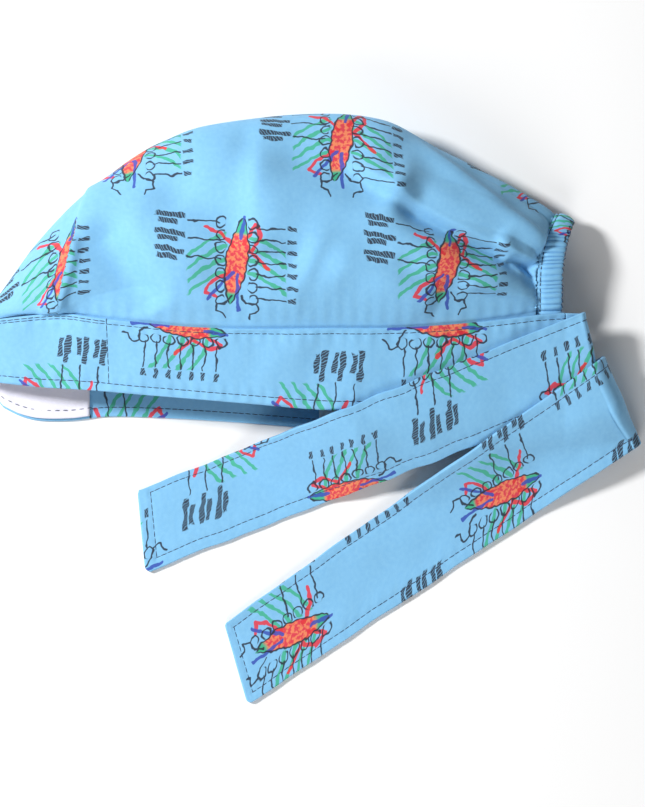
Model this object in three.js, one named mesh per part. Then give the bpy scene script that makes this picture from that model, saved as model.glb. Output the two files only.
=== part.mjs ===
// A tie-back surgical scrub cap, laid on its side on a flat surface. Millimetres, +Z up.
// +X runs from the forehead to the nape, +Y from the open rim to the top of the crown.
// The wearer's left side faces up and is puffed out, the right side lies on the surface.

import * as THREE from 'three';

// Walls: every cloth part is a wall measured from the crown's outer face, out or in.
const CROWN_WALL = 1.3;
const BAND_WALL = 1.6;
const SWEATBAND_WALL = 1.2;
const LABEL_WALL = 1.0;
const TIE_WALL = 2.0;
const GAP = 0.3;
const BAND_OUT = GAP + BAND_WALL;

// The crown's edge is tucked inside the band by this share of the band's height.
const LAP = 0.17;
// How far in from its outline the crown turns under, and the rise of its far wall onto the band.
const TURN_DEPTH = 18;
const RISE_RUN = 10;
// The turn takes at most this share of the far wall's length, and this share of the rib's steps.
const TURN_LENGTH_SHARE = 0.6;
const TURN_STEP_SHARE = 0.4;
// The two halves of the crown meet at the outline with half of the seam's gap on either side.
const HALF_SEAM = 0.006;
// Folds and pleats fade out within a sixth of a rib from the seams, and the edge on the casing
// turns from the near side to the far one within a third of it round the outline.
const FADE_RATE = 6;
const NAPE_TURN_RATE = 3;
// The share of a rib over which the near wall climbs from the band to its full height.
const SHOULDER = 0.7;

// Sections from the forehead to the nape. The near rim and seam belong to the upper wall, the fold
// is the outline where the cap turns under, and the far seam and rim lie on the surface.
const SECTIONS = table(
  ['rimX', 'rimY', 'rimZ', 'seamX', 'seamY', 'seamZ', 'top', 'foldX', 'foldY', 'foldZ',
    'farSeamX', 'farSeamY', 'farRimX', 'farRimY'],
  [
    [-124, 5.6, 16, -124, 38.2, 21, 21, -153, 36, 11, -141, 31, -141, -5],
    [-110, 5, 19, -111, 38.3, 24.5, 27, -144, 47, 12, -128, 27.5, -128, -9],
    [-97, 4.1, 21, -98, 36.5, 27, 34, -124, 73.5, 14, -112, 27, -112, -9.3],
    [-80, 2.6, 22.5, -80, 34.5, 29, 40, -102.5, 94, 16, -95, 28.5, -95, -7.5],
    [-56, 0.6, 23.5, -56, 32.3, 30, 45, -69, 115.8, 18, -68, 28, -68, -8.2],
    [-28, -1.8, 24, -28, 31.6, 30.5, 48, -24, 126, 19, -30, 25.5, -30, -10.6],
    [2, -4.3, 23.5, 2, 31.9, 29.5, 48, 22.5, 126.3, 19, 5, 23, 5, -13.3],
    [31, -4.4, 22, 30, 32, 27.5, 44, 54.5, 112.5, 17, 30, 22, 30, -14],
    [60, -3, 19.5, 57, 33.4, 24.5, 38, 78, 101, 15, 56, 22, 56, -14],
    [84, 0, 17, 80, 35.8, 21, 31, 97, 90.5, 13, 80, 22.8, 80, -13.5],
    [96, 1.2, 15.5, 96, 37.8, 18.5, 24, 105, 83, 11, 96, 23.5, 96, -13],
  ],
);
const LAST = SECTIONS.count - 1;

// The band runs on past the crown's last section to where the ties begin.
const BAND_END = {
  rimX: 108.6, rimY: 2, rimZ: 14, seamX: 108.6, seamY: 38.8, seamZ: 16.5,
  farSeamX: 106, farSeamY: 24, farRimX: 106, farRimY: -12.5,
};
// The foremost point of the band's rim; the foremost point of its seam is the first fold.
const RIM_TIP = new THREE.Vector3(-153, 9, 9);

// The elastic casing at the nape, from the near band end, round the fold, to the far band end.
const CASING = table(
  ['innerX', 'innerY', 'outerX', 'outerY', 'z'],
  [
    [96, 39.2, 107.8, 39.4, 17],
    [96.2, 57, 108, 57.5, 19.5],
    [98.8, 70.5, 110, 69.8, 19],
    [104.5, 82.5, 113.6, 78.8, 10.5],
    [98.8, 69, 110, 68.2, 3.1],
    [96.2, 50, 108, 50, 2.8],
    [96, 24.6, 107.8, 24.8, 2.8],
  ],
);
const CASING_HALF_THICKNESS = 2.0;
const GATHER_DEPTH = 0.5;
const GATHERS = 28;
const STEPS_PER_GATHER = 4;
const CASING_SIDES = 10;
// The casing's outer side bulges at each gather by this much.
const GATHER_BULGE = 0.3;

// Soft folds pressed into the crown, each a line across it with its half width and depth.
const FOLDS = table(
  ['fromX', 'fromY', 'toX', 'toY', 'spread', 'depth'],
  [
    [-20, 108, 42, 86, 11, 2.6],
    [42, 86, 97, 60, 7, 3.0],
    [30, 112, 92, 76, 6, -1.8],
    [60, 55, 96, 48, 5, 1.4],
    [-104, 92, -120, 40, 3.5, 1.6],
    [-25, 120, -27, 70, 9, -1.2],
  ],
);
const PLEATS_A_SIDE = 6;
const PLEAT_DEPTH = 1.1;
const PLEATS_START = 7;
const PLEATS_END = 0.2;

// Ties: the corners of the band end, the outermost crease, and the free end, low and high side.
const TIE_LEFT = {
  startLow: [109, 2.2], startHigh: [109, 38.6],
  creaseLow: [125, 1.5], creaseHigh: [117, 39],
  endLow: [-78.5, -77.5], endHigh: [-82, -41],
};
const TIE_RIGHT = {
  startLow: [106.4, -12.6], startHigh: [106.4, 23.8],
  creaseLow: [143.2, -20], creaseHigh: [126, 19.5],
  endLow: [-32.5, -137], endHigh: [-43, -100.5],
};
// A fallen tie comes down from the band's edge to the surface over this distance.
const FALL_RUN = 48;
// The left tie leaves the rim here, and sinks faster past it.
const TIE_LEAVES_RIM_X = 16;
const SINK_RATE = 0.3;
const LEFT_LOOP = { height: 3, run: 42 };
const RIGHT_LOOP = { height: 7, run: 70 };
const OVERLAP_RUN = 45;
const OVERLAP_HEIGHT = 12;
const OVERLAP_START = 4;
// A tie bends at its crease within this share of the height between its two layers.
const BEND_SHARE = 0.3;
// What a tie rests on, it clears by this much more where it slopes.
const SLOPE_ROOM = 0.35;
const SLOPE_START = 4;

// The bare tag, on the far band's inner face.
const LABEL = { from: 5.83, to: 6.24, low: 0.1, high: 0.42 };
// The sweatband's two ends, as sections on the near and the far side, and its height on the band.
const SWEATBAND = { nearEnd: 2.2, farEnd: 2.55, low: 0.03, high: 0.81 };

const CLOTH_BLUE = 0x96d2f5;
const SWEATBAND_WHITE = 0xe9e6f3;
const LABEL_WHITE = 0xf4f4f0;

// Turns rows of numbers under column names into one list of numbers per name.
function table(names, rows) {
  const columns = { count: rows.length };
  names.forEach((name, index) => {
    columns[name] = rows.map((row) => row[index]);
  });
  return columns;
}

function mix(a, b, share) {
  return a + (b - a) * share;
}

function ease(share) {
  const held = Math.min(Math.max(share, 0), 1);
  return held * held * (3 - 2 * held);
}

// One at the start, falling softly to zero when share reaches one.
function fall(share) {
  return 1 - ease(share);
}

// A smooth curve through evenly numbered values.
function through(values, at) {
  const last = values.length - 1;
  const i = Math.min(Math.max(Math.floor(at), 0), last - 1);
  const f = at - i;
  const before = values[Math.max(i - 1, 0)];
  const after = values[Math.min(i + 2, last)];
  const slope = values[i + 1] - before;
  const bend = 2 * before - 5 * values[i] + 4 * values[i + 1] - after;
  const twist = 3 * values[i] - before - 3 * values[i + 1] + after;
  return values[i] + 0.5 * f * (slope + f * (bend + f * twist));
}

function steps(from, to, count) {
  return Array.from({ length: count + 1 }, (_, i) => mix(from, to, i / count));
}

// The two walls of cloth at a section: its points on the near side, the fold and the far side.
function edge(name, s) {
  if (s > LAST) {
    return edgePastCrown(name, s - LAST);
  }
  const x = through(SECTIONS[`${name}X`], s);
  const y = through(SECTIONS[`${name}Y`], s);
  const z = SECTIONS[`${name}Z`] ? through(SECTIONS[`${name}Z`], s) : BAND_OUT;
  return new THREE.Vector3(x, y, z);
}

function edgePastCrown(name, share) {
  const start = edge(name, LAST);
  const endZ = BAND_END[`${name}Z`] ?? BAND_OUT;
  const end = new THREE.Vector3(BAND_END[`${name}X`], BAND_END[`${name}Y`], endZ);
  return start.lerp(end, share);
}

// A rib of cloth from a near point (t = -1) over to the outline (t = 0), under, and along the
// ground to a far point (t = 1).
function arch({ near, fold, far, top, ground }, t) {
  if (t <= 0) {
    const angle = (1 + t) * Math.PI / 2;
    const out = Math.sin(angle);
    const sag = Math.max(0, 1 - out / SHOULDER) ** 2;
    const point = near.clone().lerp(fold, out);
    point.z = fold.z + (top - fold.z) * Math.cos(angle) - (top - near.z) * sag;
    return point;
  }
  const length = Math.hypot(fold.x - far.x, fold.y - far.y);
  const turn = Math.min(TURN_DEPTH, TURN_LENGTH_SHARE * length);
  const angle = Math.min(t / TURN_STEP_SHARE, 1) * Math.PI / 2;
  const along = Math.max(t - TURN_STEP_SHARE, 0) / (1 - TURN_STEP_SHARE);
  const inward = turn * (1 - Math.cos(angle)) + (length - turn) * along;
  const rise = Math.min(RISE_RUN, length - turn);
  const point = fold.clone().lerp(far, inward / length);
  const lift = (far.z - ground) * ease((inward - length + rise) / rise);
  point.z = mix(fold.z, ground, Math.sin(angle)) + lift;
  return point;
}

// The crown's edge on the elastic casing, level with the middle of the casing.
function napeEdge(t) {
  const at = (t + 1) * (CASING.count - 1) / 2;
  const x = through(CASING.innerX, at);
  const y = through(CASING.innerY, at);
  const z = through(CASING.z, at);
  const turned = Math.cos((Math.min(Math.max(t * NAPE_TURN_RATE, -1), 1) + 1) * Math.PI / 2);
  return new THREE.Vector3(x, y, z + turned * CROWN_WALL / 2);
}

function foldPress(x, y) {
  let press = 0;
  for (let i = 0; i < FOLDS.count; i += 1) {
    const dx = FOLDS.toX[i] - FOLDS.fromX[i];
    const dy = FOLDS.toY[i] - FOLDS.fromY[i];
    const share = ((x - FOLDS.fromX[i]) * dx + (y - FOLDS.fromY[i]) * dy) / (dx * dx + dy * dy);
    const held = Math.min(Math.max(share, 0), 1);
    const away = Math.hypot(x - FOLDS.fromX[i] - held * dx, y - FOLDS.fromY[i] - held * dy);
    press += FOLDS.depth[i] * Math.exp(-((away / FOLDS.spread[i]) ** 2));
  }
  return press;
}

// The crown's outer face: s from the forehead to the nape, t from the near seam to the far one.
function crownFace(s, t) {
  if (Math.abs(t) > 1) {
    const side = t < 0 ? ['seam', 'rim'] : ['farSeam', 'farRim'];
    return edge(side[0], s).lerp(edge(side[1], s), Math.abs(t) - 1);
  }
  const rib = {
    near: edge('seam', s),
    fold: edge('fold', s),
    far: edge('farSeam', s),
    top: through(SECTIONS.top, s),
    ground: BAND_OUT * fall(s),
  };
  const point = arch(rib, t);
  const gathered = ease((s - PLEATS_START) / (LAST - PLEATS_START));
  const inside = Math.min(1, (1 - Math.abs(t)) * FADE_RATE);
  if (t < 0) {
    point.z -= foldPress(point.x, point.y) * inside * Math.cos((1 + t) * Math.PI / 2);
  }
  point.lerp(napeEdge(t), gathered * gathered);
  const raised = t < PLEATS_END ? 1 : 0;
  point.z += PLEAT_DEPTH * gathered * inside * raised * Math.sin(t * Math.PI * PLEATS_A_SIDE) ** 2;
  return point;
}

// A line along the band: u from 0 to 1 on the near side, 1 to 2 round the forehead, 2 to 3 far.
function bandLine(near, far, tip, u) {
  if (u <= 1) {
    return edge(near, (LAST + 1) * (1 - u));
  }
  if (u >= 2) {
    return edge(far, (LAST + 1) * (u - 2));
  }
  const start = edge(near, 0);
  const rib = { near: start, fold: tip, far: edge(far, 0), top: start.z, ground: BAND_OUT };
  return arch(rib, 2 * (u - 1) - 1);
}

// The face that the band is laid on: w is 0 at the open rim and 1 at the seam with the crown.
function bandFace(u, w) {
  const rim = bandLine('rim', 'farRim', RIM_TIP, u);
  const seam = bandLine('seam', 'farSeam', edge('fold', 0), u);
  return rim.lerp(seam, w);
}

// The direction square to a face at a point, pointing out of the cap.
function outward(face, u, v, uEnds, vEnds) {
  const nudge = 1e-3;
  const u0 = Math.max(u - nudge, uEnds[0]);
  const u1 = Math.min(u + nudge, uEnds[1]);
  const v0 = Math.max(v - nudge, vEnds[0]);
  const v1 = Math.min(v + nudge, vEnds[1]);
  const alongU = face(u1, v).sub(face(u0, v));
  const alongV = face(u, v1).sub(face(u, v0));
  return alongU.cross(alongV).normalize();
}

function closedGeometry(points, triangles) {
  const geometry = new THREE.BufferGeometry();
  const numbers = points.flatMap((point) => [point.x, point.y, point.z]);
  geometry.setAttribute('position', new THREE.Float32BufferAttribute(numbers, 3));
  geometry.setIndex(triangles);
  geometry.computeVertexNormals();
  return geometry;
}

// A wall of cloth on a face, from its inner to its outer distance off that face.
function wall(face, us, vs, inner, outer) {
  const uEnds = [us[0], us[us.length - 1]];
  const vEnds = [vs[0], vs[vs.length - 1]];
  const points = [];
  for (const distance of [outer, inner]) {
    for (const u of us) {
      for (const v of vs) {
        const normal = outward(face, u, v, uEnds, vEnds);
        points.push(face(u, v).addScaledVector(normal, distance));
      }
    }
  }
  const layer = us.length * vs.length;
  const at = (side, i, j) => side * layer + i * vs.length + j;
  const triangles = [];
  const quad = (a, b, c, d) => triangles.push(a, b, c, a, c, d);
  for (let i = 0; i < us.length - 1; i += 1) {
    for (let j = 0; j < vs.length - 1; j += 1) {
      quad(at(0, i, j), at(0, i + 1, j), at(0, i + 1, j + 1), at(0, i, j + 1));
      quad(at(1, i, j), at(1, i, j + 1), at(1, i + 1, j + 1), at(1, i + 1, j));
    }
    const end = vs.length - 1;
    quad(at(0, i, 0), at(1, i, 0), at(1, i + 1, 0), at(0, i + 1, 0));
    quad(at(0, i, end), at(0, i + 1, end), at(1, i + 1, end), at(1, i, end));
  }
  for (let j = 0; j < vs.length - 1; j += 1) {
    const end = us.length - 1;
    quad(at(0, 0, j), at(0, 0, j + 1), at(1, 0, j + 1), at(1, 0, j));
    quad(at(0, end, j), at(1, end, j), at(1, end, j + 1), at(0, end, j + 1));
  }
  return closedGeometry(points, triangles);
}

function crownHalf(across) {
  const along = [...steps(0, PLEATS_START, 18), ...steps(PLEATS_START, LAST, 9).slice(1)];
  return wall(crownFace, along, across, -CROWN_WALL, 0);
}

function crownLeftGeometry() {
  return crownHalf([-1 - LAP, ...steps(-1, -HALF_SEAM, 24)]);
}

function crownRightGeometry() {
  const turn = steps(HALF_SEAM, TURN_STEP_SHARE, 6);
  const level = steps(TURN_STEP_SHARE, 1, 6).slice(1);
  return crownHalf([...turn, ...level, 1 + LAP]);
}

function bandGeometry() {
  const along = [...steps(0, 1, 26), ...steps(1, 2, 16).slice(1), ...steps(2, 3, 20).slice(1)];
  const down = (u, v) => bandFace(u, 1 - v);
  return wall(down, along, steps(0, 1, 3), GAP, BAND_OUT);
}

function sweatbandGeometry() {
  const near = 1 - SWEATBAND.nearEnd / (LAST + 1);
  const far = 2 + SWEATBAND.farEnd / (LAST + 1);
  const along = [...steps(near, 1, 6), ...steps(1, 2, 16).slice(1), ...steps(2, far, 6).slice(1)];
  const down = (u, v) => bandFace(u, mix(SWEATBAND.high, SWEATBAND.low, v));
  return wall(down, along, steps(0, 1, 3), -GAP - SWEATBAND_WALL, -GAP);
}

function labelGeometry() {
  const along = steps(2 + LABEL.from / (LAST + 1), 2 + LABEL.to / (LAST + 1), 2);
  const down = (u, v) => bandFace(u, mix(LABEL.high, LABEL.low, v));
  return wall(down, along, steps(0, 1, 2), -GAP - LABEL_WALL, -GAP);
}

// The padded channel round the elastic, its rings swelling and narrowing with each gather.
function casingGeometry() {
  const count = GATHERS * STEPS_PER_GATHER;
  const ringAt = (i) => {
    const at = i * (CASING.count - 1) / count;
    const z = through(CASING.z, at);
    const inner = new THREE.Vector3(through(CASING.innerX, at), through(CASING.innerY, at), z);
    const outer = new THREE.Vector3(through(CASING.outerX, at), through(CASING.outerY, at), z);
    return { inner, outer, centre: inner.clone().lerp(outer, 0.5) };
  };
  const points = [];
  for (let i = 0; i <= count; i += 1) {
    const { inner, outer, centre } = ringAt(i);
    const tangent = ringAt(Math.min(i + 1, count)).centre.sub(ringAt(Math.max(i - 1, 0)).centre);
    const across = outer.clone().sub(inner);
    const halfWidth = across.length() / 2 - 2 * GAP;
    across.normalize();
    const up = across.clone().cross(tangent).normalize();
    const gather = Math.cos(i * 2 * Math.PI / STEPS_PER_GATHER);
    for (let k = 0; k < CASING_SIDES; k += 1) {
      const angle = k * 2 * Math.PI / CASING_SIDES;
      const bulge = Math.cos(angle) > 0 ? GATHER_BULGE * gather : 0;
      const wide = Math.cos(angle) * (halfWidth + bulge);
      const high = Math.sin(angle) * (CASING_HALF_THICKNESS + GATHER_DEPTH * gather);
      points.push(centre.clone().addScaledVector(across, wide).addScaledVector(up, high));
    }
  }
  const triangles = [];
  for (let i = 0; i < count; i += 1) {
    for (let k = 0; k < CASING_SIDES; k += 1) {
      const a = i * CASING_SIDES + k;
      const b = i * CASING_SIDES + (k + 1) % CASING_SIDES;
      triangles.push(a, b + CASING_SIDES, b, a, a + CASING_SIDES, b + CASING_SIDES);
    }
  }
  const lastRing = count * CASING_SIDES;
  for (let k = 1; k < CASING_SIDES - 1; k += 1) {
    triangles.push(0, k, k + 1);
    triangles.push(lastRing, lastRing + k + 1, lastRing + k);
  }
  return closedGeometry(points, triangles);
}

// The section of the near band's rim at a given distance along the cap.
function sectionAt(x) {
  let low = 0;
  let high = LAST + 1;
  for (let i = 0; i < 24; i += 1) {
    const middle = (low + high) / 2;
    if (edge('rim', middle).x < x) {
      low = middle;
    } else {
      high = middle;
    }
  }
  return low;
}

// The height at which cloth rests on the near band and, past its rim, on the surface.
function restOnBand(x, y) {
  const s = sectionAt(x);
  const rim = edge('rim', s);
  const seam = edge('seam', s);
  const up = (y - rim.y) / (seam.y - rim.y);
  if (up >= 0) {
    return mix(rim.z, seam.z, up) + BAND_OUT + GAP;
  }
  const past = rim.y - y + SINK_RATE * Math.max(0, TIE_LEAVES_RIM_X - x);
  return (rim.z + BAND_OUT + GAP) * fall(past / FALL_RUN);
}

// How far a point lies to the right of a line, looking along it from one corner to the other.
function rightOf(from, to, x, y) {
  const length = Math.hypot(to[0] - from[0], to[1] - from[1]);
  return ((x - from[0]) * (to[1] - from[1]) - (y - from[1]) * (to[0] - from[0])) / length;
}

// The middle of a tie that rests at a height: level with the surface, or just clear of the band.
function liftedOff(rest) {
  return rest + TIE_WALL / 2 + SLOPE_ROOM * ease(rest / SLOPE_START);
}

function leftTieUnder(x, y) {
  return restOnBand(x, y) - GAP - BAND_WALL / 2;
}

function leftTieOver(x, y) {
  const fromCrease = rightOf(TIE_LEFT.creaseHigh, TIE_LEFT.creaseLow, x, y);
  const loop = LEFT_LOOP.height * fall(fromCrease / LEFT_LOOP.run);
  return liftedOff(restOnBand(x, y)) + loop;
}

function rightTieUnder() {
  return TIE_WALL / 2;
}

// The right tie lies on the left one, and past the left one's lower edge it sinks to the surface.
function rightTieOver(x, y) {
  const fromCrease = rightOf(TIE_RIGHT.creaseHigh, TIE_RIGHT.creaseLow, x, y);
  const loop = RIGHT_LOOP.height * fall(fromCrease / RIGHT_LOOP.run);
  const past = rightOf(TIE_LEFT.endLow, TIE_LEFT.creaseLow, x, y);
  const clear = leftTieOver(x, y) + TIE_WALL / 2 + SLOPE_ROOM + GAP;
  const onTie = clear * fall((past - OVERLAP_START) / OVERLAP_RUN);
  return liftedOff(onTie + loop * fall(onTie / OVERLAP_HEIGHT));
}

// A strap laid from its start to a crease, and folded there back over itself to its free end.
function tieFace(corners, under, over, v, w) {
  const cross = (low, high) => new THREE.Vector2(...low).lerp(new THREE.Vector2(...high), w);
  const start = cross(corners.startLow, corners.startHigh);
  const crease = cross(corners.creaseLow, corners.creaseHigh);
  const end = cross(corners.endLow, corners.endHigh);
  const inward = end.clone().sub(crease).normalize();
  const low = under(crease.x, crease.y);
  const high = over(crease.x, crease.y);
  const bulge = BEND_SHARE * (high - low);
  const bendAt = crease.clone().addScaledVector(inward, bulge);
  if (v < 0) {
    const point = bendAt.lerp(start, -v);
    return new THREE.Vector3(point.x, point.y, under(point.x, point.y));
  }
  if (v > 1) {
    const point = bendAt.lerp(end, v - 1);
    return new THREE.Vector3(point.x, point.y, over(point.x, point.y));
  }
  const angle = v * Math.PI;
  const point = bendAt.addScaledVector(inward, -bulge * Math.sin(angle));
  return new THREE.Vector3(point.x, point.y, mix(low, high, (1 - Math.cos(angle)) / 2));
}

function tieGeometry(corners, under, over) {
  const face = (v, w) => tieFace(corners, under, over, v, w);
  const along = [...steps(-1, 0, 3), ...steps(0, 1, 8).slice(1), ...steps(1, 2, 26).slice(1)];
  return wall(face, along, steps(0, 1, 4), -TIE_WALL / 2, TIE_WALL / 2);
}

function piece(name, geometry, color, roughness) {
  const material = new THREE.MeshStandardMaterial({ color, roughness, metalness: 0 });
  const mesh = new THREE.Mesh(geometry, material);
  mesh.name = name;
  return mesh;
}

const cap = new THREE.Group();
cap.add(piece('crown_left', crownLeftGeometry(), CLOTH_BLUE, 0.8));
cap.add(piece('crown_right', crownRightGeometry(), CLOTH_BLUE, 0.8));
cap.add(piece('band', bandGeometry(), CLOTH_BLUE, 0.8));
cap.add(piece('elastic_casing', casingGeometry(), CLOTH_BLUE, 0.8));
cap.add(piece('sweatband', sweatbandGeometry(), SWEATBAND_WHITE, 0.9));
cap.add(piece('label', labelGeometry(), LABEL_WHITE, 0.7));
cap.add(piece('tie_left', tieGeometry(TIE_LEFT, leftTieUnder, leftTieOver), CLOTH_BLUE, 0.8));
cap.add(piece('tie_right', tieGeometry(TIE_RIGHT, rightTieUnder, rightTieOver), CLOTH_BLUE, 0.8));

// The origin is the middle of the cap's outline on the surface it lies on.
const extent = new THREE.Box3().setFromObject(cap);
const centre = extent.getCenter(new THREE.Vector3());
cap.position.set(-centre.x, -centre.y, -extent.min.z);

export default cap;
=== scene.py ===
"""The looks of a tie-back surgical scrub cap lying on its side: printed cloth, seams and gathers.

Faces of cloth are worked out in millimetres on the CAD model's own sections, then set in its frame.
"""

import math

import bpy
import numpy as np
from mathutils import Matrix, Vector


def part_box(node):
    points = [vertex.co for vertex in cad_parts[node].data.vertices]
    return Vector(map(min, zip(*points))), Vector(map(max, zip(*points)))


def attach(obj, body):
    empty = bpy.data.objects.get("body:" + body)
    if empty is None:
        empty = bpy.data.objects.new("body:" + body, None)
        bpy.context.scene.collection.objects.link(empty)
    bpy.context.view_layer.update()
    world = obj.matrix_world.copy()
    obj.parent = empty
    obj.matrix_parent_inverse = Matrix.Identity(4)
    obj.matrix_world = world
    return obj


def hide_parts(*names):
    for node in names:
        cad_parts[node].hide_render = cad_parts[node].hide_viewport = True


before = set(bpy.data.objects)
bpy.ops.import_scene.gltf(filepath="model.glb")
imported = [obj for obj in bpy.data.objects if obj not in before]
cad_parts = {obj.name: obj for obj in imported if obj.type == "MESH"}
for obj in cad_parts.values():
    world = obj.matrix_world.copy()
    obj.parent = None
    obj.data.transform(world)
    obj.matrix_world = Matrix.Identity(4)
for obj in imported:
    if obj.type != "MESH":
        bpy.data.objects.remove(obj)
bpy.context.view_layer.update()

MM = 0.001

# ---------------------------------------------------------------- sizes, in millimetres

CROWN_WALL = 0.9
BAND_WALL = 1.5
SWEATBAND_WALL = 1.1
LABEL_WALL = 0.7
TIE_WALL = 1.7
GAP = 0.3
BAND_OUT = 1.9
RESTING = 0.02
BAND_HEIGHT = 36.0
LAP = 0.17
TURN_DEPTH = 18.0
RISE_RUN = 10.0
SHOULDER = 0.7


def table(names, rows):
    """Rows of numbers as one array for each named column."""
    return dict(zip(names.split(), np.array(rows, float).T))


SECTIONS = table(
    "rimX rimY rimZ seamX seamY seamZ top foldX foldY foldZ farSeamX farSeamY farRimX farRimY",
    [
        [-124, 5.6, 16, -124, 38.2, 21, 21, -153, 36, 11, -141, 31, -141, -5],
        [-110, 5, 19, -111, 38.3, 24.5, 27, -144, 47, 12, -128, 27.5, -128, -9],
        [-97, 4.1, 21, -98, 36.5, 27, 34, -124, 73.5, 14, -112, 27, -112, -9.3],
        [-80, 2.6, 22.5, -80, 34.5, 29, 40, -102.5, 94, 16, -95, 28.5, -95, -7.5],
        [-56, 0.6, 23.5, -56, 32.3, 30, 45, -69, 115.8, 18, -68, 28, -68, -8.2],
        [-28, -1.8, 24, -28, 31.6, 30.5, 48, -24, 126, 19, -30, 25.5, -30, -10.6],
        [2, -4.3, 23.5, 2, 31.9, 29.5, 48, 22.5, 126.3, 19, 5, 23, 5, -13.3],
        [31, -4.4, 22, 30, 32, 27.5, 44, 54.5, 112.5, 17, 30, 22, 30, -14],
        [60, -3, 19.5, 57, 33.4, 24.5, 38, 78, 101, 15, 56, 22, 56, -14],
        [84, 0, 17, 80, 35.8, 21, 31, 97, 90.5, 13, 80, 22.8, 80, -13.5],
        [96, 1.2, 15.5, 96, 37.8, 18.5, 24, 105, 83, 11, 96, 23.5, 96, -13],
    ],
)
LAST = len(SECTIONS["rimX"]) - 1
BAND_END = {
    "rim": (108.6, 2, 14),
    "seam": (108.6, 38.8, 16.5),
    "farSeam": (106, 24, BAND_OUT),
    "farRim": (106, -12.5, BAND_OUT),
}
RIM_TIP = np.array([-153.0, 9.0, 9.0])

CASING = table(
    "innerX innerY outerX outerY z",
    [
        [96, 39.2, 107.8, 39.4, 17],
        [96.2, 57, 108, 57.5, 19.5],
        [98.8, 70.5, 110, 69.8, 19],
        [104.5, 82.5, 113.6, 78.8, 10.5],
        [98.8, 69, 110, 68.2, 3.1],
        [96.2, 50, 108, 50, 2.8],
        [96, 24.6, 107.8, 24.8, 2.8],
    ],
)

TIE_LEFT = {
    "start": ((109, 2.2), (109, 38.6)),
    "crease": ((125, 1.5), (117, 39)),
    "end": ((-78.5, -77.5), (-82, -41)),
}
TIE_RIGHT = {
    "start": ((106.4, -12.6), (106.4, 23.8)),
    "crease": ((143.2, -20), (126, 19.5)),
    "end": ((-32.5, -137), (-43, -100.5)),
}
FALL_RUN = 48.0
TIE_LEAVES_RIM_X = 16.0
SINK_RATE = 0.3
LEFT_LOOP = {"height": 3.0, "run": 42.0}
RIGHT_LOOP = {"height": 7.0, "run": 70.0}
OVERLAP_RUN = 45.0
OVERLAP_HEIGHT = 12.0
SLOPE_ROOM = 0.35
SLOPE_START = 4.0
CAD_TIE_WALL = 2.0
LOW_CORNER = 3.0
HIGH_CORNER = 1.4

# Folds on the crown's upper side: a crest along a line, soft on one side and steep on the other.
# Left and right are the widths of the slopes on either hand, looking along the line.
FOLDS = table(
    "fromX fromY toX toY bow height left right",
    [
        [-34, 116, 30, 93, 1, -4.2, 15, 12],
        [34, 90, 99, 58, -1, -8.6, 10, 7.0],
        [14, 104, 98, 61, -2.5, 8.6, 16, 2.8],
        [44, 113, 100, 70, -1, 3.6, 2.6, 5],
        [78, 72, 97, 53, -2.5, 3.4, 5, 1.8],
        [84, 62, 98, 52, 1, -3.2, 3.2, 3.4],
        [62, 51, 97, 45, 1, 2.8, 5, 3],
        [40, 62, 92, 58, -2, 3.0, 8, 6],
        [-24, 127, -29, 66, 0, 5.0, 15, 7],
        [-123, 39, -101, 95, -1.5, 3.0, 1.7, 9],
        [-115, 40, -107, 70, -1, 2.0, 5, 1.8],
        [-98, 78, -76, 40, 0, -6.0, 9, 11],
        [-72, 92, -8, 62, 3, -4.0, 12, 14],
        [4, 60, 48, 42, 2, 2.8, 9, 11],
        [-58, 44, -8, 40, 0, 2.0, 8, 5],
        [30, 98, 36, 62, 1, 1.8, 9, 12],
    ],
)

# ---------------------------------------------------------------- curves and rules


def mix(a, b, share):
    return a + (b - a) * share


def ease(share):
    held = np.clip(share, 0.0, 1.0)
    return held * held * (3 - 2 * held)


def fall(share):
    return 1 - ease(share)


def through(values, at):
    """A smooth curve through evenly numbered values."""
    last = len(values) - 1
    i = np.clip(np.floor(at).astype(int), 0, last - 1)
    f = at - i
    before, here = values[np.maximum(i - 1, 0)], values[i]
    after, beyond = values[i + 1], values[np.minimum(i + 2, last)]
    slope = after - before
    bend = 2 * before - 5 * here + 4 * after - beyond
    twist = 3 * here - before - 3 * after + beyond
    return here + 0.5 * f * (slope + f * (bend + f * twist))


def ripple(x, y, size, seed):
    """Soft uneven waves of about a given size, between -1 and 1, the same on every run."""
    random = np.random.default_rng(seed)
    total = np.zeros(np.broadcast(x, y).shape)
    waves = 7
    for _ in range(waves):
        turn = random.uniform(0, 2 * math.pi)
        reach = 2 * math.pi / (size * random.uniform(0.75, 1.4))
        start = random.uniform(0, 2 * math.pi)
        total += np.sin(reach * (x * math.cos(turn) + y * math.sin(turn)) + start)
    return total / waves * 1.6


def drawn_in(column, amount):
    """Takes a column of the sections towards the rim by an amount."""
    SECTIONS[column] = SECTIONS[column] - amount


drawn_in("foldY", np.array([1.2, 1.2, 1.1, 0.9, 0.5, 0.4, 0.8, 1.8, 2.2, 1.6, 0.6]))


def edge(name, s):
    """Points along one edge of the cap: a seam, a rim or the outline, by section number."""
    held = np.clip(s, 0, LAST)
    height = through(SECTIONS[name + "Z"], held) if name + "Z" in SECTIONS else BAND_OUT + 0 * held
    across = through(SECTIONS[name + "X"], held)
    up = through(SECTIONS[name + "Y"], held)
    point = np.stack([across, up, height], axis=-1)
    if name not in BAND_END:
        return point
    past = np.clip(s - LAST, 0, 1)[..., None]
    return mix(point, np.array(BAND_END[name], float), past)


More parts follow.
